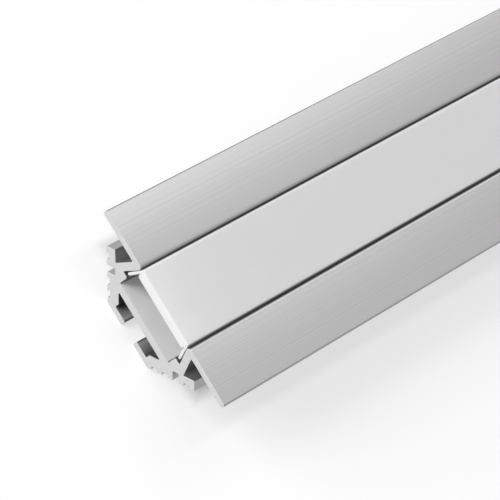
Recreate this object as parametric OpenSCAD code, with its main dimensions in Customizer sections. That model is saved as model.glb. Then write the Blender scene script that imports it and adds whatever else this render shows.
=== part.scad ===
// Aluminium strip-light profile with wings, a snap-in diffuser and two 45 degree ridged flanges.
// X runs along the stock, Y across it, and Z is 0 at the bottom and rises to the lit front face.
// The cross-section is drawn as points [distance from the middle, depth behind the front, radius].

/* [Stock] */
// Length of the stock
profile_l = 1000; // [100:50:3000]
// Width over the tips of the two wings
profile_w = 30; // [26:0.5:40]

/* [Wings] */
// Thickness of each wing
wing_t = 0.95; // [0.8:0.05:1.2]
// Radius along the edges of a wing tip
wing_tip_r = 0.3; // [0.1:0.05:0.35]
// Radius of the nose where a wing turns down into its web
nose_r = 0.55; // [0.3:0.05:0.7]

/* [Diffuser seat] */
// Width between the webs at the bottom of the seat
seat_w = 14.4; // [13.8:0.1:14.8]
// Depth of the seat's ledges behind the front
seat_depth = 3.78; // [3.4:0.02:4.2]
// Angle by which each web leans over the seat
web_lean = 20.5; // [16:0.5:24]
// Thickness of each web
web_t = 1.21; // [1:0.01:1.5]
// Bevel where a ledge drops into the strip channel
ledge_bevel = 0.2; // [0.1:0.05:0.3]

/* [Strip channel] */
// Width of the channel that the light strip is stuck in
channel_w = 12.3; // [11:0.1:12.8]
// Depth of the channel below the ledges
channel_drop = 1.88; // [1.5:0.02:2.4]
// Thickness of the floor between the strip channel and the clip channel
floor_t = 1.24; // [1:0.02:1.6]

/* [Clip channel] */
// Height inside the clip channel
clip_h = 2.3; // [2.1:0.05:3]
// Width of the clip channel under the floor
clip_w = 10.2; // [9.6:0.1:10.6]
// Wall between the clip channel's slanted sides and the flange faces
clip_wall = 2.07; // [1.9:0.01:2.2]
// Thickness of the two lips under the clip channel
lip_t = 1; // [0.8:0.05:1.3]
// Gap between the two lips
lip_gap = 3; // [2:0.1:5]
// Thickness of the upright wall above each lip's root
lip_wall = 1.06; // [0.8:0.02:1.3]
// Width of the flat bottom over both lips
base_w = 10.06; // [9.8:0.02:11]

/* [Mounting flanges] */
// Width over the outer edges of the two flanges
flange_span = 22.46; // [21:0.02:25]
// Thickness of each flange where it stands free
flange_t = 1.6; // [1.2:0.05:1.8]
// Number of ridges on each flange face
ridge_count = 5; // [3:1:7]
// Width of one ridge
ridge_w = 0.91; // [0.6:0.01:1]
// Depth of the shallow notches between the ridges
notch_depth = 0.48; // [0.3:0.02:0.7]
// Depth of the one deep notch in each face
deep_notch_depth = 1.48; // [0.8:0.02:1.6]
// Which notch is the deep one, counted from the flange's outer edge
deep_notch = 2; // [1:1:3]

/* [Edges] */
// Radius on the narrow outside edges
edge_r = 0.12; // [0.05:0.01:0.15]
// Radius in the inside corners of the seat and the two channels
root_r = 0.18; // [0.05:0.01:0.2]
// Radius in the two corners of each side pocket
pocket_r = 0.1; // [0.05:0.01:0.3]
// Radius on the edges of the lips and of the flat bottom
lip_edge_r = 0.25; // [0.1:0.05:0.35]

/* [Diffuser] */
// Thickness of the diffuser's front plate
plate_t = 1.6; // [1.2:0.05:1.8]
// Radius along the diffuser's two front edges
plate_edge_r = 0.25; // [0.1:0.05:0.4]
// Thickness of each diffuser leg
leg_t = 0.42; // [0.3:0.02:0.6]
// Depth at which each leg parts from the plate
leg_root_depth = 1; // [0.8:0.05:1.1]
// Width of the slit between plate and leg at the plate's back
slit_w = 0.39; // [0.25:0.01:0.6]
// Clearance between the diffuser and each wing's nose
nose_gap = 0.13; // [0.1:0.01:0.3]
// Clearance between each leg's foot and its web
foot_gap = 0.27; // [0.15:0.01:0.5]
// Radius of the foot's two corners, as a share of the leg's thickness
foot_roundness = 0.45; // [0.2:0.05:0.45]
// Clearance between each leg's foot and its ledge
foot_lift = 0.6; // [0.2:0.02:0.9]

/* [Hidden] */

// Number of sides that a drawn circle stands for
arc_sides = 48;
// Reach of a corner piece past the edges that it rounds, as a share of the radius
corner_reach = 1.25;
// Bulge of a rounding disc past the edges that it meets, so that it always crosses them
disc_bulge = 0.0002;

channel_depth = seat_depth + channel_drop;
clip_top = channel_depth + floor_t;
lip_top = clip_top + clip_h;
profile_h = lip_top + lip_t;

// Webs: faces that lean by web_lean, so that the seat widens from its mouth to its ledges
function web_inside(depth) = seat_w / 2 - (seat_depth - depth) * tan(web_lean);
function web_outside(depth) = web_inside(depth) + web_t / cos(web_lean);
nose_y = web_inside(0) + nose_r * (tan(45 + web_lean / 2) - 1);

// Planes at 45 degrees, each given by the sum of y and depth of its points
flange_plane = base_w / 2 + profile_h;
flange_back_plane = flange_plane - flange_t * sqrt(2);
clip_plane = flange_plane - clip_wall * sqrt(2);
pocket_depth = (flange_back_plane - web_outside(0)) / (1 + tan(web_lean));

// Flange face, from its outer edge down to the flat bottom
flange_edge = [flange_span / 2, flange_plane - flange_span / 2];
face_l = sqrt(2) * (flange_edge.x - base_w / 2);
ridge_pitch = (face_l - ridge_w) / (ridge_count - 1);
face_inward = [-1, -1] / sqrt(2);
face_along = [-1, 1] / sqrt(2);

neck_y = base_w / 2 - lip_wall;

// Diffuser side: a line past the nose at nose_gap and past the web at foot_gap
foot_r = foot_roundness * leg_t;
foot_depth = seat_depth - foot_lift;
foot_y = web_inside(foot_depth) - foot_gap;
side_lean = atan((foot_y - nose_y + nose_gap) / (foot_depth - nose_r));
function side_outside(depth) = foot_y - (foot_depth - depth) * tan(side_lean);
function side_inside(depth) = side_outside(depth) - leg_t / cos(side_lean);

// One corner of an outline, from a point and its radius
function corner(point, radius = 0) = [point.x, point.y, radius];

// The four corners of one notch in the flange face, by its number from the outer edge
function notch(number) =
    let (
        depth = number == deep_notch ? deep_notch_depth : notch_depth,
        start = flange_edge + (ridge_w + (number - 1) * ridge_pitch) * face_along,
        end = flange_edge + number * ridge_pitch * face_along
    )
    [
        corner(start, edge_r),
        corner(start + depth * face_inward, edge_r),
        corner(end + depth * face_inward, edge_r),
        corner(end, edge_r)
    ];

// Right half of the extrusion's outline, from the strip channel round to the clip channel
extrusion_half = concat(
    [
        corner([channel_w / 2, channel_depth], root_r),
        corner([channel_w / 2, seat_depth + ledge_bevel]),
        corner([channel_w / 2 + ledge_bevel, seat_depth]),
        corner([seat_w / 2, seat_depth], root_r),
        corner([web_inside(0), 0], nose_r),
        corner([profile_w / 2, 0], wing_tip_r),
        corner([profile_w / 2, wing_t], wing_tip_r),
        corner([web_outside(wing_t), wing_t], pocket_r),
        corner([web_outside(pocket_depth), pocket_depth], pocket_r),
        corner(flange_edge + flange_t * face_inward, edge_r),
        corner(flange_edge, edge_r)
    ],
    [for (number = [1:ridge_count - 1]) each notch(number)],
    [
        corner([base_w / 2, profile_h], lip_edge_r),
        corner([lip_gap / 2, profile_h], lip_edge_r),
        corner([lip_gap / 2, lip_top], lip_edge_r),
        corner([neck_y, lip_top], root_r),
        corner([neck_y, clip_plane - neck_y], root_r),
        corner([clip_w / 2, clip_plane - clip_w / 2]),
        corner([clip_w / 2, clip_top])
    ]
);

// Right half of the diffuser's outline, from the front edge round to the plate's back
diffuser_half = [
    corner([side_outside(0), 0], plate_edge_r),
    corner([side_outside(foot_depth), foot_depth], foot_r),
    corner([side_inside(foot_depth), foot_depth], foot_r),
    corner([side_inside(leg_root_depth), leg_root_depth]),
    corner([side_inside(plate_t) - slit_w, plate_t], edge_r)
];

// Whole outline of a section that is alike on both sides
function both_halves(half) =
    concat(half, [for (i = [len(half) - 1:-1:0]) corner([-half[i].x, half[i].y], half[i].z)]);

function place(point) = [point.x, profile_h - point.y];
function unit(v) = v / norm(v);

// Turn of an outline at one of its points: below zero at an outward corner
function turn(before, tip, after) =
    cross(place(tip) - place(before), place(after) - place(tip));

// Where an arc touches the two edges that meet at a corner, and the arc's centre
function touches(before, tip, after) =
    let (
        to_before = unit(place(before) - place(tip)),
        to_after = unit(place(after) - place(tip)),
        half_angle = acos(to_before * to_after) / 2,
        reach = tip.z / tan(half_angle),
        centre = place(tip) + tip.z / sin(half_angle) * unit(to_before + to_after)
    )
    [place(tip) + reach * to_before, place(tip) + reach * to_after, centre];

// Disc inside a corner's arc, turned so that it starts on its side away from the corner
module arc_disc(tip, centre) {
    away = centre - place(tip);
    translate(centre) rotate(atan2(away.y, away.x)) circle(tip.z + disc_bulge, $fn = arc_sides);
}

// Piece outside the arc at an outward corner, cut from a kite about the arc's centre
module outward_piece(before, tip, after) {
    arc = touches(before, tip, after);
    kite = [arc[0], place(tip), arc[1]];
    difference() {
        polygon(concat([arc[2]], [for (point = kite) arc[2] + corner_reach * (point - arc[2])]));
        arc_disc(tip, arc[2]);
    }
}

// Section with its corners rounded by true arcs: inward ones are filled flat, then hollowed
module section(outline) {
    count = len(outline);
    before = [for (i = [0:count - 1]) outline[(i + count - 1) % count]];
    after = [for (i = [0:count - 1]) outline[(i + 1) % count]];
    difference() {
        polygon([
            for (i = [0:count - 1])
                let (arc = touches(before[i], outline[i], after[i]))
                each turn(before[i], outline[i], after[i]) > 0 && outline[i].z > 0
                    ? [arc[0], arc[1]]
                    : [place(outline[i])]
        ]);
        for (i = [0:count - 1]) {
            if (outline[i].z > 0 && turn(before[i], outline[i], after[i]) < 0)
                outward_piece(before[i], outline[i], after[i]);
            if (outline[i].z > 0 && turn(before[i], outline[i], after[i]) > 0)
                arc_disc(outline[i], touches(before[i], outline[i], after[i])[2]);
        }
    }
}

module along_stock(length) {
    rotate([90, 0, 90]) linear_extrude(length, center = true) children();
}

module extrusion() {
    color("gainsboro") along_stock(profile_l) section(both_halves(extrusion_half));
}

module diffuser() {
    color("white") along_stock(profile_l) section(both_halves(diffuser_half));
}

extrusion();
diffuser();
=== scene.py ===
"""Looks of the LED strip profile: two swept pieces, their finishes, floor, light and camera.

Lengths are in millimetres, as in the part's source, and turned to metres where a mesh is made or a
place is measured. A comment says which values are in metres. X runs along the stock, Y across it,
and Z rises to the lit front.
"""

import math

import bpy
import numpy as np
from mathutils import Matrix, Vector


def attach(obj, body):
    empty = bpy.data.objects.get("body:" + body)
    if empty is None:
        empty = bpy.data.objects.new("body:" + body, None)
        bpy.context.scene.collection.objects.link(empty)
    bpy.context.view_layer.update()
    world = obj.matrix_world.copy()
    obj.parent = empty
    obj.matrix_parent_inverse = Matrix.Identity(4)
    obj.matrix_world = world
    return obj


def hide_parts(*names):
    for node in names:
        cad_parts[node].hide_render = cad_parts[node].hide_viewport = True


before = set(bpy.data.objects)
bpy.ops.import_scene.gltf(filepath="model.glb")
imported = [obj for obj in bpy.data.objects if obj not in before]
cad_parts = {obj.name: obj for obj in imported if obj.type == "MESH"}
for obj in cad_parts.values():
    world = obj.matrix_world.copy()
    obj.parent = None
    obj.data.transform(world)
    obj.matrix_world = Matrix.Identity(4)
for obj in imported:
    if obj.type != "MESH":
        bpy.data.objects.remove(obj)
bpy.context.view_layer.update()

MM = 0.001

# Stock and wings
PROFILE_L = 1000
PROFILE_W = 30
WING_T = 0.95
WING_TIP_R = 0.3
NOSE_R = 0.55

# Diffuser seat
SEAT_W = 14.4
SEAT_DEPTH = 3.78
WEB_LEAN = math.radians(20.5)
WEB_T = 1.21
LEDGE_BEVEL = 0.2

# Strip channel and clip channel
CHANNEL_W = 12.3
CHANNEL_DROP = 1.88
FLOOR_T = 1.24
CLIP_H = 2.3
CLIP_W = 10.2
CLIP_WALL = 2.07
LIP_T = 1.0
LIP_GAP = 3.0
LIP_WALL = 1.06
BASE_W = 10.06

# Mounting flanges
FLANGE_SPAN = 22.46
FLANGE_T = 1.6
RIDGE_COUNT = 5
RIDGE_W = 0.91
NOTCH_DEPTH = 0.48
DEEP_NOTCH_DEPTH = 1.48
DEEP_NOTCH = 2

# Radii of the extrusion's narrow edges and roots
EDGE_R = 0.12
ROOT_R = 0.18
POCKET_R = 0.1
LIP_EDGE_R = 0.25

# Diffuser
PLATE_T = 1.6
PLATE_EDGE_R = 0.25
LEG_T = 0.42
LEG_ROOT_DEPTH = 1.0
SLIT_W = 0.39
NOSE_GAP = 0.13
FOOT_GAP = 0.27
FOOT_ROUNDNESS = 0.45
FOOT_LIFT = 0.6

# Heights that follow, as in the part's source
CHANNEL_DEPTH = SEAT_DEPTH + CHANNEL_DROP
CLIP_TOP = CHANNEL_DEPTH + FLOOR_T
LIP_TOP = CLIP_TOP + CLIP_H
PROFILE_H = LIP_TOP + LIP_T
CHANNEL_Z = PROFILE_H - CHANNEL_DEPTH
CLIP_Z = PROFILE_H - CLIP_TOP

# What only the looks have: wing faces whose edges lie deeper than their middles by a crown too
# slight to measure, and the break on a sawn edge
WING_CROWN = 0.07
SAWN_BREAK = 0.05

# How many parts a crowned face, a break, an arc and the whole length are made of
WING_STEPS = 14
BREAK_STEPS = 3
ARC_STEPS = 7
LENGTH_RINGS = 26

# Numbers of a piece's finishes: along its length, on its sawn ends, and on the strip channel's
# floor and the clip channel's faces
BRUSHED = 0
SAWN = 1
UNBRUSHED = 2

# Distance within which a face counts as one of the two channels'
EVEN = 0.001

# Cosine of the turn below which two edges belong to one crowned face
GENTLE_TURN = math.cos(math.radians(4))

# Least length that a vector is divided by
TINY = 1e-12


def web_inside(depth):
    """Distance of a web's inner face from the middle: it leans out with depth below the front."""
    return SEAT_W / 2 - (SEAT_DEPTH - depth) * math.tan(WEB_LEAN)


def web_outside(depth):
    """Distance of a web's outer face from the middle: the inner face moved out by the wall."""
    return web_inside(depth) + WEB_T / math.cos(WEB_LEAN)


def unit(vectors):
    """Every row divided by its own length."""
    return vectors / np.maximum(np.linalg.norm(vectors, axis=1, keepdims=True), TINY)


def crowned_wing():
    """Corners of a wing's front face, from its nose to its tip.

    Depth grows with the square of the way from the face's middle to its rounded edges, where it is
    WING_CROWN, and the two corners lie where the face's last tangents run on to.
    """
    nose_y = web_inside(0)
    tip_y = PROFILE_W / 2
    flat_start = nose_y + NOSE_R / math.tan((math.pi / 2 - WEB_LEAN) / 2)
    flat_end = tip_y - WING_TIP_R
    middle = (flat_start + flat_end) / 2
    reach = (flat_end - flat_start) / 2
    slope = 2 * WING_CROWN / reach
    across = np.linspace(-1, 1, WING_STEPS + 1)[1:-1, None]
    crown = np.hstack([middle + across * reach, across**2 * WING_CROWN, across * 0])
    nose = [nose_y, WING_CROWN + slope * (flat_start - nose_y), NOSE_R]
    wing_tip = [tip_y, WING_CROWN + slope * (tip_y - flat_end), WING_TIP_R]
    return np.vstack([nose, crown, wing_tip])


def flange_notches(edge, inward, along):
    """The four corners of every notch in a flange's face, from its outer edge to the flat bottom.

    The ridges share the face's length evenly, and notch k lies between ridges k and k + 1.
    """
    face_l = math.sqrt(2) * (edge[0] - BASE_W / 2)
    pitch = (face_l - RIDGE_W) / (RIDGE_COUNT - 1)
    number = np.arange(1, RIDGE_COUNT)[:, None]
    depth = np.where(number == DEEP_NOTCH, DEEP_NOTCH_DEPTH, NOTCH_DEPTH)
    start = edge + (RIDGE_W + (number - 1) * pitch) * along
    end = edge + number * pitch * along
    notch = np.stack([start, start + depth * inward, end + depth * inward, end], axis=1)
    return np.hstack([notch.reshape(-1, 2), np.full((4 * len(number), 1), EDGE_R)])


def extrusion_half():
    """Corners [distance from the middle, depth, radius] from the strip channel to the clip channel.

    A flange's two faces and the clip channel's side are planes at 45 degrees, on each of which the
    sum of distance and depth stays the same.
    """
    root_two = math.sqrt(2)
    flange_plane = BASE_W / 2 + PROFILE_H
    back_plane = flange_plane - FLANGE_T * root_two
    clip_plane = flange_plane - CLIP_WALL * root_two
    pocket_depth = (back_plane - web_outside(0)) / (1 + math.tan(WEB_LEAN))
    neck = BASE_W / 2 - LIP_WALL
    inward = np.array([-1, -1]) / root_two
    along = np.array([-1, 1]) / root_two
    edge = np.array([FLANGE_SPAN / 2, flange_plane - FLANGE_SPAN / 2])
    seat = [
        [CHANNEL_W / 2, CHANNEL_DEPTH, ROOT_R],
        [CHANNEL_W / 2, SEAT_DEPTH + LEDGE_BEVEL, 0],
        [CHANNEL_W / 2 + LEDGE_BEVEL, SEAT_DEPTH, 0],
        [SEAT_W / 2, SEAT_DEPTH, ROOT_R],
    ]
    pocket = [
        [PROFILE_W / 2, WING_T, WING_TIP_R],
        [web_outside(WING_T), WING_T, POCKET_R],
        [web_outside(pocket_depth), pocket_depth, POCKET_R],
        [*(edge + FLANGE_T * inward), EDGE_R],
        [*edge, EDGE_R],
    ]
    clip_channel = [
        [BASE_W / 2, PROFILE_H, LIP_EDGE_R],
        [LIP_GAP / 2, PROFILE_H, LIP_EDGE_R],
        [LIP_GAP / 2, LIP_TOP, LIP_EDGE_R],
        [neck, LIP_TOP, ROOT_R],
        [neck, clip_plane - neck, ROOT_R],
        [CLIP_W / 2, clip_plane - CLIP_W / 2, 0],
        [CLIP_W / 2, CLIP_TOP, 0],
    ]
    notches = flange_notches(edge, inward, along)
    return np.vstack([seat, crowned_wing(), pocket, notches, clip_channel])


def diffuser_half():
    """Corners [distance from the middle, depth, radius] from the front edge to the plate's back.

    The side is a straight line past the wing's nose at NOSE_GAP and past the web at FOOT_GAP.
    """
    nose_y = web_inside(0) + NOSE_R * (math.tan(math.pi / 4 + WEB_LEAN / 2) - 1)
    foot_depth = SEAT_DEPTH - FOOT_LIFT
    foot_y = web_inside(foot_depth) - FOOT_GAP
    lean = math.atan((foot_y - nose_y + NOSE_GAP) / (foot_depth - NOSE_R))
    foot_r = FOOT_ROUNDNESS * LEG_T

    def outside(depth):
        """Distance of a leg's outer face from the middle."""
        return foot_y - (foot_depth - depth) * math.tan(lean)

    def inside(depth):
        """Distance of a leg's inner face from the middle."""
        return outside(depth) - LEG_T / math.cos(lean)

    return np.array([
        [outside(0), 0, PLATE_EDGE_R],
        [outside(foot_depth), foot_depth, foot_r],
        [inside(foot_depth), foot_depth, foot_r],
        [inside(LEG_ROOT_DEPTH), LEG_ROOT_DEPTH, 0],
        [inside(PLATE_T) - SLIT_W, PLATE_T, EDGE_R],
    ])


def corner_arcs(tip, radius, to_before, to_after):
    """Points of the arc in each corner of an outline, and their normals.

    An arc's centre lies on the corner's bisector, at radius / sin(half the corner's angle), and its
    points turn evenly from where it touches one edge to where it touches the next.
    """
    cosine = np.clip((to_before * to_after).sum(axis=1), -1, 1)
    half_angle = np.arccos(cosine) / 2
    touch = (radius / np.tan(half_angle))[:, None]
    centre = tip + (radius / np.sin(half_angle))[:, None] * unit(to_before + to_after)
    spoke_in = tip + touch * to_before - centre
    spoke_out = tip + touch * to_after - centre
    first = np.arctan2(spoke_in[:, 1], spoke_in[:, 0])
    last = np.arctan2(spoke_out[:, 1], spoke_out[:, 0])
    turn = (last - first + math.pi) % (2 * math.pi) - math.pi
    angle = first[:, None] + turn[:, None] * np.linspace(0, 1, ARC_STEPS + 1)
    ray = np.stack([np.cos(angle), np.sin(angle)], axis=2)
    outward = np.where(turn < 0, 1, -1)[:, None, None]
    return centre[:, None] + radius[:, None, None] * ray, outward * ray


def sharp_normals(to_before):
    """Normals of each corner as if it had no radius: of the edge before it and the edge after it.

    Where the outline turns only gently, both are the direction halfway between.
    """
    before = np.column_stack([to_before[:, 1], -to_before[:, 0]])
    after = np.roll(before, -1, axis=0)
    gentle = ((before * after).sum(axis=1) > GENTLE_TURN)[:, None]
    between = unit(before + after)
    return np.where(gentle, between, before), np.where(gentle, between, after)


def rounded_section(half):
    """Closed section, mirrored from its half, with an arc at each corner that has a radius.

    Gives the points [y, z] clockwise, and each point's normal towards the edge before it and
    towards the edge after it.
    """
    corners = np.vstack([half, half[::-1] * [-1, 1, 1]])
    tip = np.column_stack([corners[:, 0], PROFILE_H - corners[:, 1]])
    radius = corners[:, 2]
    to_before = unit(np.roll(tip, 1, axis=0) - tip)
    to_after = unit(np.roll(tip, -1, axis=0) - tip)
    arc, arc_normal = corner_arcs(tip, radius, to_before, to_after)
    sharp_in, sharp_out = sharp_normals(to_before)
    kept = np.ones(arc.shape[:2], bool)
    kept[radius == 0, 1:] = False
    sharp = (radius == 0)[:, None, None]
    points = np.where(sharp, tip[:, None], arc)[kept]
    normal_in = np.where(sharp, sharp_in[:, None], arc_normal)[kept]
    normal_out = np.where(sharp, sharp_out[:, None], arc_normal)[kept]
    return points, normal_in, normal_out


def ring_places():
    """The rings from end to end: their x, their inset, and two parts of their normals.

    In the break, x and the inset follow a quarter circle of radius SAWN_BREAK. The first part of a
    normal stays in the section and the second points endwards: sine and cosine of that circle.
    """
    quarter = np.linspace(0, math.pi / 2, BREAK_STEPS + 1)
    end_x = PROFILE_L / 2 - SAWN_BREAK * (1 - np.cos(quarter))
    end_inset = SAWN_BREAK * (1 - np.sin(quarter))
    wall_x = np.linspace(-end_x[-1], end_x[-1], LENGTH_RINGS)[1:-1]
    ring_x = np.concatenate([-end_x, wall_x, end_x[::-1]])
    inset = np.concatenate([end_inset, 0 * wall_x, end_inset[::-1]])
    sideways = np.concatenate([np.sin(quarter), 0 * wall_x + 1, np.sin(quarter)[::-1]])
    endwards = np.concatenate([-np.cos(quarter), 0 * wall_x, np.cos(quarter)[::-1]])
    return ring_x, inset, sideways, endwards


def wall_normals(normal_in, normal_out, sideways, endwards):
    """Normals at the four corners of each face between two rings, in the order of the faces.

    Each is (the ring's endwards part, the point's normal times the ring's sideways part).
    """
    walls = len(sideways) - 1

    def on_rings(first, flat_normal):
        """Normals of a section's points on each ring from the first one on."""
        part = slice(first, first + walls)
        flat = sideways[part, None, None] * flat_normal
        end = np.broadcast_to(endwards[part, None, None], flat.shape[:2] + (1,))
        return np.concatenate([end, flat], axis=2)

    here = [on_rings(0, normal_out), on_rings(1, normal_out)]
    after = np.roll(normal_in, -1, axis=0)
    beside = [on_rings(1, after), on_rings(0, after)]
    return np.stack(here + beside, axis=2).reshape(-1, 3)


def finish_numbers(points, rings):
    """Number of every face's finish: sawn on the ends and the breaks, unbrushed in the channels."""
    edge_z = np.stack([points[:, 1], np.roll(points[:, 1], -1)])
    strip_floor = abs(edge_z - CHANNEL_Z).max(axis=0) < EVEN
    in_clip = (edge_z.min(axis=0) > LIP_T - EVEN) & (edge_z.max(axis=0) < CLIP_Z + EVEN)
    in_clip &= abs(points[:, 0]) < CLIP_W / 2 + EVEN
    finish = np.tile(np.where(strip_floor | in_clip, UNBRUSHED, BRUSHED), (rings - 1, 1))
    finish[:BREAK_STEPS] = SAWN
    finish[-BREAK_STEPS:] = SAWN
    return np.append(finish.ravel(), [SAWN, SAWN])


def swept_piece(name, half, finishes):
    """Section carried along X, closed by flat sawn ends whose rim is rounded by a small break.

    Every ring is the section moved inwards by the ring's inset along each point's mitre, which is
    the sum of the point's two normals / (1 + their product).
    """
    points, normal_in, normal_out = rounded_section(half)
    product = (normal_in * normal_out).sum(axis=1, keepdims=True)
    mitre = (normal_in + normal_out) / (1 + product)
    ring_x, inset, sideways, endwards = ring_places()
    rings, count = len(ring_x), len(points)
    section = points[None] - inset[:, None, None] * mitre[None]
    along = np.broadcast_to(ring_x[:, None, None], (rings, count, 1))
    vertices = np.concatenate([along, section], axis=2).reshape(-1, 3) * MM

    ring_start = np.arange(rings - 1)[:, None] * count
    here = ring_start + np.arange(count)
    after = ring_start + (np.arange(count) + 1) % count
    quads = np.stack([here, here + count, after + count, after], axis=2).reshape(-1, 4)
    near_end = np.arange(count)
    far_end = (rings - 1) * count + near_end[::-1]
    faces = quads.tolist() + [near_end.tolist(), far_end.tolist()]

    mesh = bpy.data.meshes.new(name)
    mesh.from_pydata(vertices.tolist(), [], faces)
    mesh.polygons.foreach_set("use_smooth", np.ones(len(faces), bool))
    walls = wall_normals(normal_in, normal_out, sideways, endwards)
    ends = np.repeat([[-1.0, 0, 0], [1.0, 0, 0]], count, axis=0)
    mesh.normals_split_custom_set(np.vstack([walls, ends]).tolist())
    mesh.polygons.foreach_set("material_index", finish_numbers(points, rings))
    mesh.update()
    for finish in finishes:
        mesh.materials.append(finish)
    piece = bpy.data.objects.new(name, mesh)
    bpy.context.scene.collection.objects.link(piece)
    return piece


# Finishes

COLOR = "NodeSocketColor"
VECTOR = "NodeSocketVector"
FLOAT = "NodeSocketFloat"
WHITE = (1, 1, 1, 1)

# How noise is stretched: not at all, along the stock, or along the marks of the saw
EVEN_GRAINS = (1, 1, 1)
LONG_GRAINS = (0.0004, 1, 1)
SHORTER_GRAINS = (0.0008, 1, 1)
MILK_GRAINS = (0.3, 1, 1)
SAW_GRAINS = (1, 1, 0.02)

# Detail of a smooth noise and of a crisper one
SMOOTH = 1.0
CRISP = 2.0

# Lines that the die leaves: how many there are to a metre of a level face, and how many times as
# close they lie on an upright one
COARSE_LINES = 1420.0
FINE_LINES = 2570.0
RISE_WEIGHT = 2.3

# Noise that makes the lines wander and swell: its grains for each wave, how many times finer the
# swelling's are, how far a line strays, and how strong the lines are
COARSE_GRAIN = 700.0
FINE_GRAIN = 1300.0
SWELL_GRAIN = 1.3
WANDER = 9.0
SWELL_LEVEL = 0.55
SWELL_SPREAD = 3.0
COARSE_SHARE = 0.3

# Where the masks of painted shade and painted light rise and fall: by depth below the front, by
# distance from the middle, and by distance from the nearer end
GAP_DEPTH = ((0.03, 0.25), (1.5, 1.9))
GAP_SIDE = ((5.35, 5.55), (6.7, 6.9))
GAP_FROM_END = (0.04, 0.3)
TIP_SIDE = (PROFILE_W / 2 - 0.18, PROFILE_W / 2 - 0.05)
POCKET_DEPTH = ((WING_T - 0.05, WING_T + 0.01), (4.4, 4.7))
POCKET_SIDE = ((7.3, 7.42), (8.8, 10.6))
CLIP_DEPTH = (CHANNEL_DEPTH, CLIP_TOP - 0.1)
CLIP_SIDE = (LIP_GAP / 2, 4.0)

# How strong the painted shade is: on the wing tips' edges against that in the gap, and in the clip
# channel above its mouth and how much more at its sides
TIP_PAINTED_SHADE_WEIGHT = 2.0
# Painted shade in the clip channel
CLIP_PAINTED_SHADE_LEVEL = 0.45
CLIP_PAINTED_SHADE_SPREAD = 0.47

# Half of the stock's length, in metres
HALF_L = PROFILE_L / 2 * MM

# In each finish a metal share is how metallic it is, another share is how far a mask changes the
# colour, a height is how high grains stand against the lines or marks, and a relief is in metres

# Anodised metal
ANODISED_COLOUR = (0.37, 0.37, 0.37, 1)
ANODISED_ROUGHNESS = 0.3
ANODISED_METAL_SHARE = 0.9
ANODISED_RELIEF = 2.5e-7
# Painted shade in the gap beside the diffuser and on the edges of the wings' tips
ANODISED_PAINTED_GAP_SHADE = 0.25
# Painted light in the side pockets
ANODISED_PAINTED_POCKET_LIGHT = 0.45
ANODISED_LINE_SHARE = 0.06
LINE_ROUGHNESS = 0.005
ETCH_GRAIN = 4000.0
ETCH_HEIGHT = 0.02

# Sawn ends
SAWN_COLOUR = (0.69, 0.69, 0.69, 1)
SAWN_ROUGHNESS = 0.5
SAWN_METAL_SHARE = 0.1
SAWN_RELIEF = 1.5e-6
SAW_TILT = math.radians(24)
SAW_GRAIN = 5000.0
SAW_SHARE = 0.05
SAW_ROUGHNESS = 0.08
BLOTCH_GRAIN = 900.0
BLOTCH_HEIGHT = 0.3

# Metal that is left unbrushed, and much paler than the brushed metal: partly painted light
CHANNEL_PAINTED_LIGHT_COLOUR = (0.94, 0.94, 0.94, 1)
CHANNEL_ROUGHNESS = 0.5
CHANNEL_METAL_SHARE = 0.1
CHANNEL_RELIEF = 2e-7
CHANNEL_LINE_SHARE = 0.01

# Opal plastic, in which light spreads by GLOW_REACH, in metres
OPAL_COLOUR = (0.82, 0.82, 0.82, 1)
OPAL_ROUGHNESS = 0.4
OPAL_IOR = 1.49
OPAL_RELIEF = 1.2e-7
# Painted shade on the diffuser's edges beside the gap
OPAL_PAINTED_GAP_SHADE = 0.5
FLOW_LINES = 700.0
MILK_GRAIN = 500.0
MILK_SHARE = 0.03
SATIN_GRAIN = 6000.0
SATIN_HEIGHT = 5.0
SATIN_ROUGHNESS = 0.06
# Painted light near the diffuser's ends: how far it reaches, in metres, and how strong it is
LIT_END = 6 * MM
PAINTED_END_LIGHT_SHARE = 0.15
GLOW_WEIGHT = 0.3
GLOW_REACH = 0.0008


def node(tree, kind, inputs=(), **settings):
    """Node of a kind with its settings, and its inputs linked to a socket or given a value."""
    made = tree.nodes.new(kind)
    for key, value in settings.items():
        setattr(made, key, value)
    for key, value in dict(inputs).items():
        socket = made.inputs[key]
        if isinstance(value, bpy.types.NodeSocket):
            tree.links.new(value, socket)
        else:
            socket.default_value = value
    return made


def calc(tree, operation, *values):
    """Result of one arithmetic step."""
    return node(tree, "ShaderNodeMath", dict(enumerate(values)), operation=operation).outputs[0]


def apart(tree, place):
    """X, Y and Z of a place."""
    return node(tree, "ShaderNodeSeparateXYZ", {0: place}).outputs


def ramp(tree, value, start, end):
    """Rise from 0 to 1 of a length in metres, between two lengths in millimetres."""
    return node(tree, "ShaderNodeMapRange", {0: value, 1: start * MM, 2: end * MM}).outputs[0]


def band(tree, value, rise, fall):
    """One ramp up less another: 1 between the two, and 0 outside them."""
    return calc(tree, "SUBTRACT", ramp(tree, value, *rise), ramp(tree, value, *fall))


def grains(tree, place, stretch, scale, detail, turned=(0, 0, 0)):
    """Noise from -0.5 to 0.5 whose grains are drawn out along the axes with a small stretch value."""
    mapping = {"Vector": place, "Scale": stretch, "Rotation": turned}
    vector = node(tree, "ShaderNodeMapping", mapping).outputs["Vector"]
    noise = node(tree, "ShaderNodeTexNoise", {"Vector": vector, "Scale": scale, "Detail": detail})
    return calc(tree, "SUBTRACT", noise.outputs["Fac"], 0.5)


def group_with(name, inputs, outputs):
    """Node group with inputs given as (name, kind, value) and outputs as (name, kind)."""
    group = bpy.data.node_groups.new(name, "ShaderNodeTree")
    for title, kind, value in inputs:
        socket = group.interface.new_socket(title, in_out="INPUT", socket_type=kind)
        if value is not None:
            socket.default_value = value
    for title, kind in outputs:
        group.interface.new_socket(title, in_out="OUTPUT", socket_type=kind)
    begin = group.nodes.new("NodeGroupInput").outputs
    finish = group.nodes.new("NodeGroupOutput").inputs
    return group, begin, finish


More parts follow.
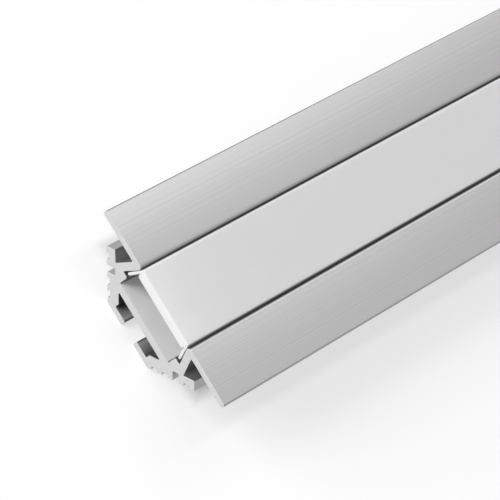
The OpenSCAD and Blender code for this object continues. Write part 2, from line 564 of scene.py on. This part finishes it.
def drawn_lines_group():
    """Lines that a die leaves along the stock: a coarse and a fine wave that wander and swell.

    Both waves run over y + RISE_WEIGHT z, which changes across every face of the section. Each is
    sin(2 pi lines per metre * that + WANDER * noise) * (SWELL_LEVEL + SWELL_SPREAD * noise),
    and Height is COARSE_SHARE of the coarse wave plus the fine one.
    """
    inputs = [
        ("Place", VECTOR, None),
        ("Coarse lines", FLOAT, COARSE_LINES),
        ("Fine lines", FLOAT, FINE_LINES),
    ]
    group, begin, finish = group_with("drawn lines", inputs, [("Height", FLOAT)])
    place = begin["Place"]
    split = apart(group, place)
    across = calc(group, "MULTIPLY_ADD", split["Z"], RISE_WEIGHT, split["Y"])
    across = calc(group, "MULTIPLY", across, 2 * math.pi)
    waves = []
    for title, grain in (("Coarse lines", COARSE_GRAIN), ("Fine lines", FINE_GRAIN)):
        wander = grains(group, place, LONG_GRAINS, grain, SMOOTH)
        wander = calc(group, "MULTIPLY", wander, WANDER)
        phase = calc(group, "MULTIPLY_ADD", across, begin[title], wander)
        strength = grains(group, place, SHORTER_GRAINS, grain * SWELL_GRAIN, SMOOTH)
        strength = calc(group, "MULTIPLY_ADD", strength, SWELL_SPREAD, SWELL_LEVEL)
        waves.append(calc(group, "MULTIPLY", calc(group, "SINE", phase), strength))
    coarse = calc(group, "MULTIPLY", waves[0], COARSE_SHARE)
    group.links.new(calc(group, "ADD", coarse, waves[1]), finish["Height"])
    return group


def painted_light_and_shade_group():
    """Masks of painted shade and painted light, from the depth below the front and the distance from
    the middle.

    Gap is painted shade in the gap beside the diffuser, a band down times a band across times a ramp
    from the end, plus a ramp across for painted shade on the edges of the wings' tips. Pocket is
    painted light in a side pocket, a band down times a band across. Clip is painted shade in the clip
    channel, a ramp across times a ramp down.
    """
    outputs = [("Gap", FLOAT), ("Pocket", FLOAT), ("Clip", FLOAT)]
    group, begin, finish = group_with("recess shade", [("Place", VECTOR, None)], outputs)
    split = apart(group, begin["Place"])
    depth = calc(group, "SUBTRACT", PROFILE_H * MM, split["Z"])
    side = calc(group, "ABSOLUTE", split["Y"])
    from_end = calc(group, "SUBTRACT", HALF_L, calc(group, "ABSOLUTE", split["X"]))

    # Painted shade in the gap beside the diffuser and on the edges of the wings' tips
    gap = calc(group, "MULTIPLY", band(group, depth, *GAP_DEPTH), band(group, side, *GAP_SIDE))
    gap = calc(group, "MULTIPLY", gap, ramp(group, from_end, *GAP_FROM_END))
    gap = calc(group, "MULTIPLY_ADD", ramp(group, side, *TIP_SIDE), TIP_PAINTED_SHADE_WEIGHT, gap)
    group.links.new(gap, finish["Gap"])

    # Painted light in the side pockets
    down = band(group, depth, *POCKET_DEPTH)
    pocket = calc(group, "MULTIPLY", down, band(group, side, *POCKET_SIDE))
    group.links.new(pocket, finish["Pocket"])

    # Painted shade in the clip channel
    clip = calc(group, "MULTIPLY_ADD", ramp(group, side, *CLIP_SIDE), CLIP_PAINTED_SHADE_SPREAD, CLIP_PAINTED_SHADE_LEVEL)
    clip = calc(group, "MULTIPLY", clip, ramp(group, depth, *CLIP_DEPTH))
    group.links.new(clip, finish["Clip"])
    return group


def toned_group():
    """Colour times (1 + mask times share)."""
    inputs = [("Color", COLOR, WHITE), ("Mask", FLOAT, 0.0), ("Share", FLOAT, 1.0)]
    group, begin, finish = group_with("toned", inputs, [("Color", COLOR)])
    level = calc(group, "MULTIPLY_ADD", begin["Mask"], begin["Share"], 1.0)
    scaling = {0: begin["Color"], "Scale": level}
    scaled = node(group, "ShaderNodeVectorMath", scaling, operation="SCALE")
    group.links.new(scaled.outputs["Vector"], finish["Color"])
    return group


def new_material(name):
    """Material with its tree, its shader's inputs and the Object coordinate."""
    material = bpy.data.materials.new(name)
    material.use_nodes = True
    tree = material.node_tree
    shader = tree.nodes["Principled BSDF"].inputs
    place = node(tree, "ShaderNodeTexCoord").outputs["Object"]
    return material, tree, shader, place


def placed_group(tree, group, place, values=()):
    """Outputs of a group that reads the place, with values for its other inputs if they differ."""
    inputs = {"Place": place, **dict(values)}
    return node(tree, "ShaderNodeGroup", inputs, node_tree=group).outputs


def tone_colour(tree, shader, toned, colour, mask, share=1.0):
    """Gives the shader the colour, toned by a share of the mask."""
    inputs = {"Color": colour, "Mask": mask, "Share": share}
    made = node(tree, "ShaderNodeGroup", inputs, node_tree=toned)
    tree.links.new(made.outputs["Color"], shader["Base Color"])


def texture_surface(tree, shader, rough, height, relief):
    """Gives the shader a roughness, and a height that stands for that many metres."""
    tree.links.new(rough, shader["Roughness"])
    bump = node(tree, "ShaderNodeBump", {"Height": height, "Distance": relief, "Strength": 1.0})
    tree.links.new(bump.outputs["Normal"], shader["Normal"])


def anodised_aluminium(drawn, painted_recess, toned):
    """Clear satin anodised metal with the die's lines, darker with painted shade in the gap and on
    the wings' tips.

    It is paler with painted light in the side pockets.
    """
    material, tree, shader, place = new_material("satin_anodised_metal")
    lines = placed_group(tree, drawn, place)["Height"]
    shade = placed_group(tree, painted_recess, place)
    tone = calc(tree, "MULTIPLY", lines, ANODISED_LINE_SHARE)
    # Painted shade: darker in the gap beside the diffuser and on the edges of the wings' tips
    tone = calc(tree, "MULTIPLY_ADD", shade["Gap"], -ANODISED_PAINTED_GAP_SHADE, tone)
    # Painted light: paler in the side pockets
    tone = calc(tree, "MULTIPLY_ADD", shade["Pocket"], ANODISED_PAINTED_POCKET_LIGHT, tone)
    tone_colour(tree, shader, toned, ANODISED_COLOUR, tone)
    etch = grains(tree, place, EVEN_GRAINS, ETCH_GRAIN, SMOOTH)
    rough = calc(tree, "MULTIPLY_ADD", lines, LINE_ROUGHNESS, ANODISED_ROUGHNESS)
    height = calc(tree, "MULTIPLY_ADD", etch, ETCH_HEIGHT, lines)
    texture_surface(tree, shader, rough, height, ANODISED_RELIEF)
    shader["Metallic"].default_value = ANODISED_METAL_SHARE
    return material


def sawn_aluminium(toned):
    """Cut ends: bare metal with the fine straight marks of a saw, tilted to the section."""
    material, tree, shader, place = new_material("sawn_metal")
    marks = grains(tree, place, SAW_GRAINS, SAW_GRAIN, CRISP, (SAW_TILT, 0, 0))
    tone_colour(tree, shader, toned, SAWN_COLOUR, marks, SAW_SHARE)
    blotch = grains(tree, place, EVEN_GRAINS, BLOTCH_GRAIN, CRISP)
    rough = calc(tree, "MULTIPLY_ADD", marks, SAW_ROUGHNESS, SAWN_ROUGHNESS)
    height = calc(tree, "MULTIPLY_ADD", blotch, BLOTCH_HEIGHT, marks)
    texture_surface(tree, shader, rough, height, SAWN_RELIEF)
    shader["Metallic"].default_value = SAWN_METAL_SHARE
    return material


def channel_aluminium(drawn, painted_recess, toned):
    """Same metal left unbrushed: duller, paler with painted light, painted shade in the clip channel.
    """
    material, tree, shader, place = new_material("unbrushed_metal_with_painted_light")
    lines = placed_group(tree, drawn, place)["Height"]
    tone = calc(tree, "MULTIPLY", lines, CHANNEL_LINE_SHARE)
    # Painted shade inside the clip channel
    tone = calc(tree, "SUBTRACT", tone, placed_group(tree, painted_recess, place)["Clip"])
    # Partly painted light: the pale colour of the unbrushed metal in both channels
    tone_colour(tree, shader, toned, CHANNEL_PAINTED_LIGHT_COLOUR, tone)
    rough = calc(tree, "MULTIPLY_ADD", lines, LINE_ROUGHNESS, CHANNEL_ROUGHNESS)
    texture_surface(tree, shader, rough, lines, CHANNEL_RELIEF)
    shader["Metallic"].default_value = CHANNEL_METAL_SHARE
    return material


def opal_plastic(drawn, painted_recess, toned):
    """Milky satin plastic with faint flow lines, and painted light near its ends, where light enters
    as well.

    The painted light falls off from an end as e to the power of minus the distance / LIT_END.
    """
    material, tree, shader, place = new_material("satin_opal")
    milk = grains(tree, place, MILK_GRAINS, MILK_GRAIN, CRISP)
    along = calc(tree, "ABSOLUTE", apart(tree, place)["X"])
    to_end = calc(tree, "MULTIPLY", calc(tree, "SUBTRACT", along, HALF_L), 1 / LIT_END)
    tone = calc(tree, "MULTIPLY", milk, MILK_SHARE)
    # Painted light near the ends
    tone = calc(tree, "MULTIPLY_ADD", calc(tree, "EXPONENT", to_end), PAINTED_END_LIGHT_SHARE, tone)
    # Painted shade on the diffuser's edges beside the gap
    gap = placed_group(tree, painted_recess, place)["Gap"]
    tone = calc(tree, "MULTIPLY_ADD", gap, -OPAL_PAINTED_GAP_SHADE, tone)
    tone_colour(tree, shader, toned, OPAL_COLOUR, tone)
    satin = grains(tree, place, EVEN_GRAINS, SATIN_GRAIN, SMOOTH)
    flow = placed_group(tree, drawn, place, {"Coarse lines": FLOW_LINES})["Height"]
    rough = calc(tree, "MULTIPLY_ADD", satin, SATIN_ROUGHNESS, OPAL_ROUGHNESS)
    height = calc(tree, "MULTIPLY_ADD", satin, SATIN_HEIGHT, flow)
    texture_surface(tree, shader, rough, height, OPAL_RELIEF)
    shader["Subsurface Weight"].default_value = GLOW_WEIGHT
    shader["Subsurface Radius"].default_value = (1.0, 1.0, 1.0)
    shader["Subsurface Scale"].default_value = GLOW_REACH
    shader["IOR"].default_value = OPAL_IOR
    return material


drawn = drawn_lines_group()
painted_recess = painted_light_and_shade_group()
toned = toned_group()
metal = anodised_aluminium(drawn, painted_recess, toned)
sawn = sawn_aluminium(toned)
channel = channel_aluminium(drawn, painted_recess, toned)
opal = opal_plastic(drawn, painted_recess, toned)

extrusion = swept_piece("aluminium_profile", extrusion_half(), [metal, sawn, channel])
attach(extrusion, "root")
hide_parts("extrusion")

# The diffuser's ends have the finish of its sides
diffuser = swept_piece("opal_diffuser", diffuser_half(), [opal, opal])
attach(diffuser, "root")
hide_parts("diffuser")


# Floor, light and camera, in metres

FLOOR_REACH = 4.0
FLOOR_COLOUR = (0.5, 0.5, 0.5, 1)
FLOOR_ROUGHNESS = 0.9
FLOOR_GRAIN = 3.0
FLOOR_SHARE = 0.01
FLOOR_GLOW = 0.62

# Where the floor's glow begins, in millimetres from the middle: beside the stock and at its ends;
# nearer the stock the glow is left out, which paints a shadow beneath it
PAINTED_SHADOW_EDGE_BESIDE = (9, 13)
PAINTED_SHADOW_EDGE_AT_ENDS = (491, 497)

# Even light from all round, where 1 is white
WORLD_LEVEL = 0.2

# Lamps: name, place, width, depth and watts. Each looks at a point of the stock's middle line, and
# its width is level: along the stock, or across it for a lamp that looks mostly along the stock.
LAMPS = [
    ("near_low", (-1.9, 0.0, 0.45), 0.8, 0.8, 2.3),
    ("near_left", (-1.5, 0.9, 0.6), 0.8, 0.8, 18.8),
    ("over_right", (-0.1, -0.1, 1.2), 1.8, 0.3, 0.62),
    ("over_left", (-0.1, 0.28, 1.2), 1.8, 0.16, 2.92),
    ("far_left", (0.9, 0.8, 1.0), 1.2, 0.5, 3.43),
]

# That point's x as a share of the lamp's, and the part of a lamp's direction along X from which it
# looks mostly along the stock
AIM_SHARE = 0.3
MOSTLY_ALONG = 0.75

# The camera looks down on the near end and is rolled, as the photograph is
CAMERA_PLACE = (-0.73735, -0.01844, 0.31586)
CAMERA_TURN = (0.907634, 0.113986, -0.321547, -0.244572)
CAMERA_LENS = 213.2
CAMERA_SENSOR = 36.0
CAMERA_NEAREST = 0.01
CAMERA_FARTHEST = 50.0


def seen_ray(tree):
    """One for a ray from the camera, from a glossy or from a clear surface, else zero."""
    rays = node(tree, "ShaderNodeLightPath").outputs
    seen = calc(tree, "MAXIMUM", rays["Is Camera Ray"], rays["Is Glossy Ray"])
    return calc(tree, "MAXIMUM", seen, rays["Is Transmission Ray"])


def plain_floor(toned):
    """Level pale floor, a square of FLOOR_REACH each way, that shows white to the camera.

    What the camera, a glossy or a clear surface sees has a glow added, but not beneath the stock,
    where leaving it out paints a shadow.
    """
    material, tree, shader, place = new_material("pale_floor")
    tone = grains(tree, place, EVEN_GRAINS, FLOOR_GRAIN, CRISP)
    tone_colour(tree, shader, toned, FLOOR_COLOUR, tone, FLOOR_SHARE)
    shader["Roughness"].default_value = FLOOR_ROUGHNESS
    shader["Specular IOR Level"].default_value = 0.0
    split = apart(tree, place)
    # Painted shadow: no glow beneath the stock
    beside = ramp(tree, calc(tree, "ABSOLUTE", split["Y"]), *PAINTED_SHADOW_EDGE_BESIDE)
    at_ends = ramp(tree, calc(tree, "ABSOLUTE", split["X"]), *PAINTED_SHADOW_EDGE_AT_ENDS)
    glow = calc(tree, "MULTIPLY", seen_ray(tree), calc(tree, "MAXIMUM", beside, at_ends))
    tree.links.new(calc(tree, "MULTIPLY", glow, FLOOR_GLOW), shader["Emission Strength"])
    shader["Emission Color"].default_value = WHITE
    far = FLOOR_REACH
    square = [(-far, -far, 0), (far, -far, 0), (far, far, 0), (-far, far, 0)]
    mesh = bpy.data.meshes.new("floor")
    mesh.from_pydata(square, [], [(0, 1, 2, 3)])
    floor = bpy.data.objects.new("floor", mesh)
    floor.data.materials.append(material)
    bpy.context.scene.collection.objects.link(floor)


def plain_world():
    """Pale light of WORLD_LEVEL from all round, which the camera and what is glossy see as white."""
    world = bpy.data.worlds.new("studio")
    world.use_nodes = True
    tree = world.node_tree
    backdrop = tree.nodes["Background"].inputs
    backdrop["Color"].default_value = WHITE
    strength = calc(tree, "MULTIPLY_ADD", seen_ray(tree), 1 - WORLD_LEVEL, WORLD_LEVEL)
    tree.links.new(strength, backdrop["Strength"])
    bpy.context.scene.world = world


def soft_lamp(name, place, width, depth, power):
    """Area lamp at a place, turned towards a point of the stock's middle line."""
    data = bpy.data.lights.new(name, "AREA")
    data.shape = "RECTANGLE"
    data.size = width
    data.size_y = depth
    data.energy = power
    lamp = bpy.data.objects.new(name, data)
    lamp.location = place
    away = (Vector(place) - Vector((place[0] * AIM_SHARE, 0, 0))).normalized()
    level = Vector((1, 0, 0)) if abs(away.x) < MOSTLY_ALONG else Vector((0, 1, 0))
    upward = away.cross(level).normalized()
    turn = Matrix((upward.cross(away), upward, away)).transposed()
    lamp.rotation_mode = "QUATERNION"
    lamp.rotation_quaternion = turn.to_quaternion()
    bpy.context.scene.collection.objects.link(lamp)


def photo_camera():
    """The scene's camera, at the photograph's viewing angle."""
    data = bpy.data.cameras.new("camera")
    data.sensor_width = CAMERA_SENSOR
    data.lens = CAMERA_LENS
    data.clip_start = CAMERA_NEAREST
    data.clip_end = CAMERA_FARTHEST
    camera = bpy.data.objects.new("camera", data)
    camera.location = CAMERA_PLACE
    camera.rotation_mode = "QUATERNION"
    camera.rotation_quaternion = CAMERA_TURN
    bpy.context.scene.collection.objects.link(camera)
    bpy.context.scene.camera = camera


plain_floor(toned)
plain_world()
for lamp in LAMPS:
    soft_lamp(*lamp)
photo_camera()

bpy.context.scene.view_settings.view_transform = "Standard"
